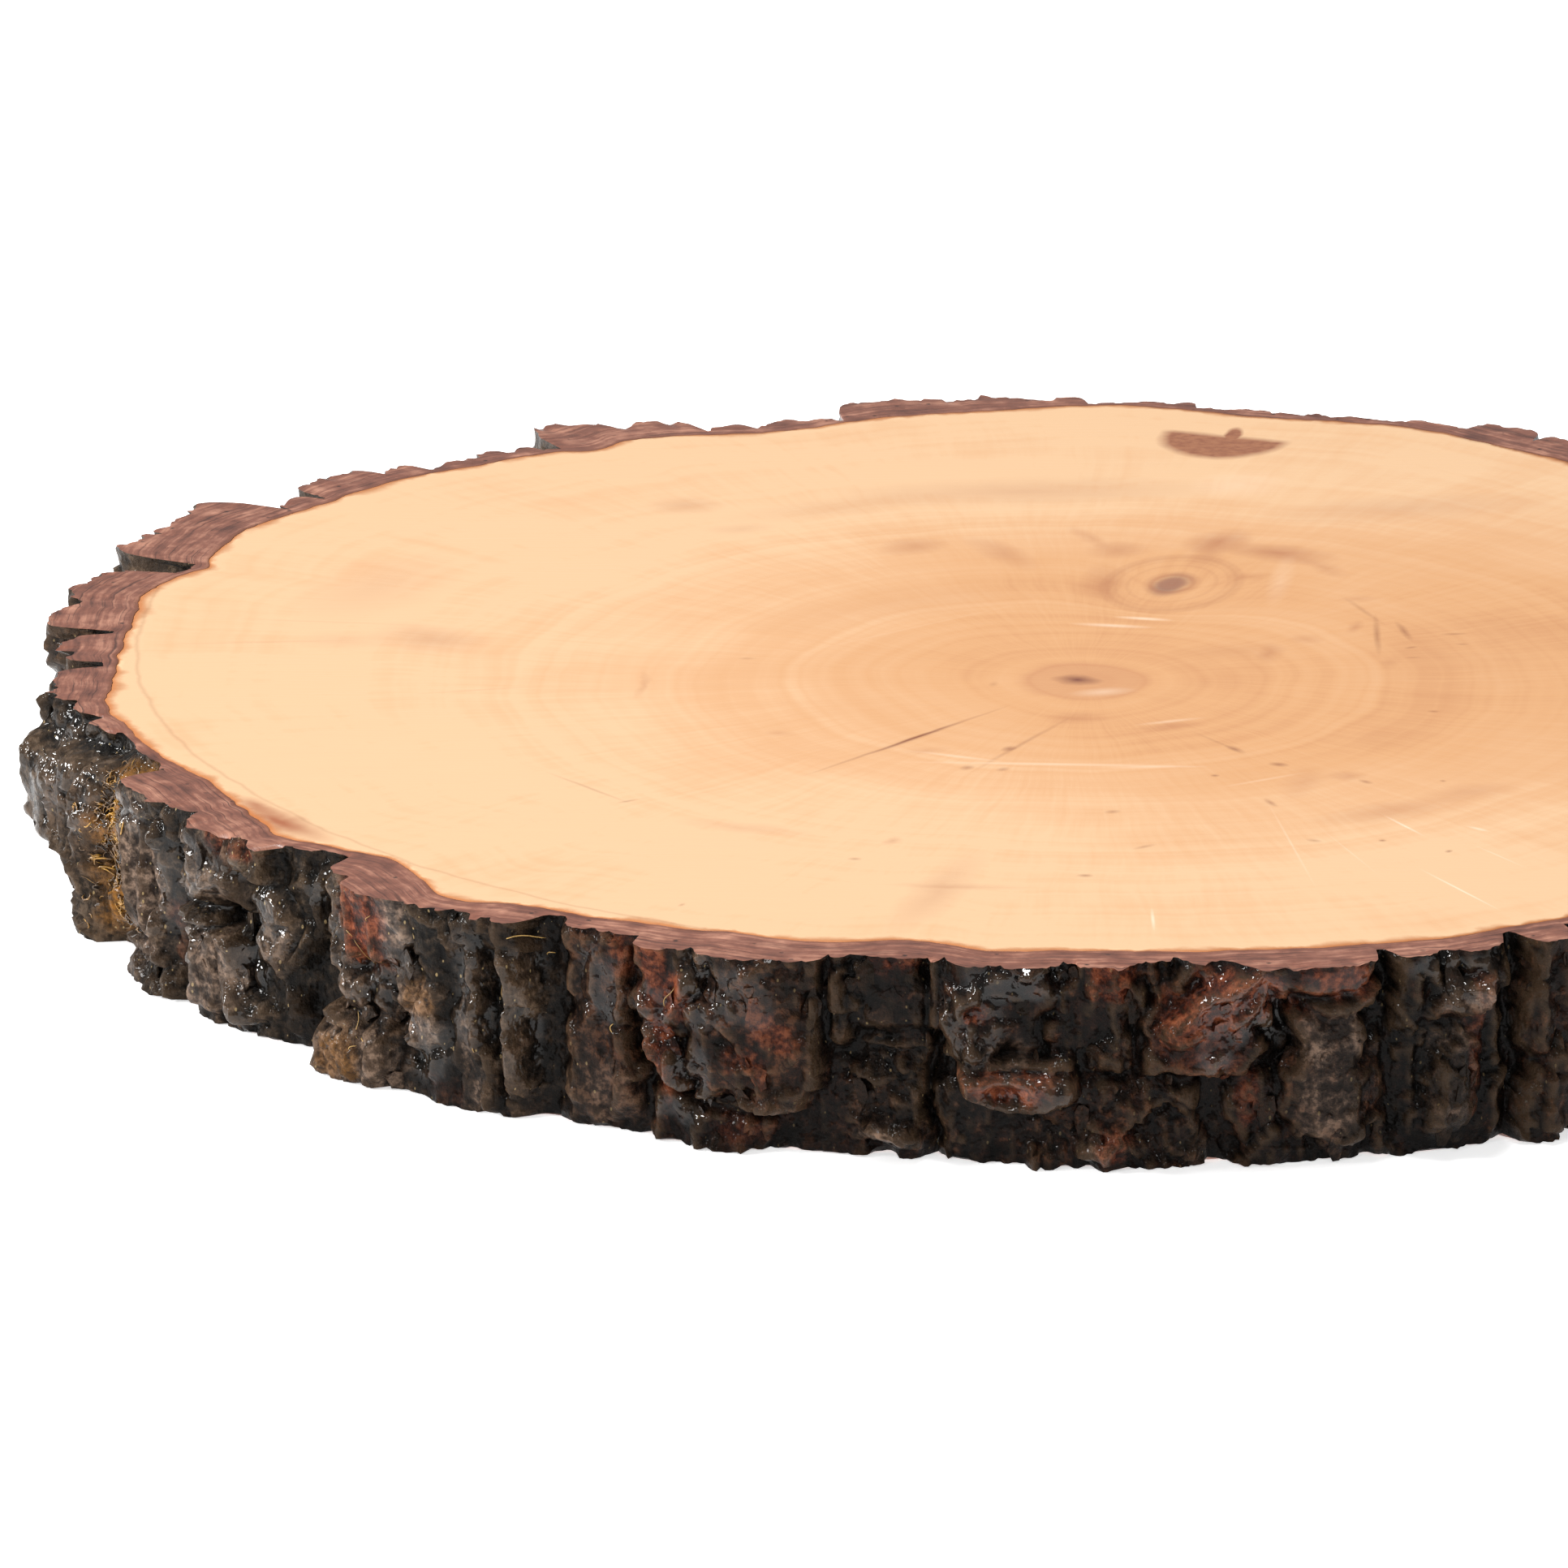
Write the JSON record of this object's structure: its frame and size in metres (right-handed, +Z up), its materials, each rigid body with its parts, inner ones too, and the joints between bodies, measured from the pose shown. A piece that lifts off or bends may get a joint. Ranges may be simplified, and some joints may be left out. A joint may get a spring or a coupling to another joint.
{
  "type": "wood slice",
  "caption": "Round slice sawn across a log, with flat sawn faces and a ring of thick furrowed bark, lying flat.",
  "frame": {"origin": "middle of the underside, on the surface that the slice lies on", "axes": "+Z up through the thickness, square to both sawn faces; the picture looks along +Y, with +X to its right"},
  "size_m": [0.3052, 0.3014, 0.03],
  "materials": {
    "wood": "sanded and varnished, satin",
    "bark": "rough bark under a wet-looking varnish"
  },
  "bodies": {
    "root": {"wood": "wood", "bark": "bark"}
  },
  "joints": []
}
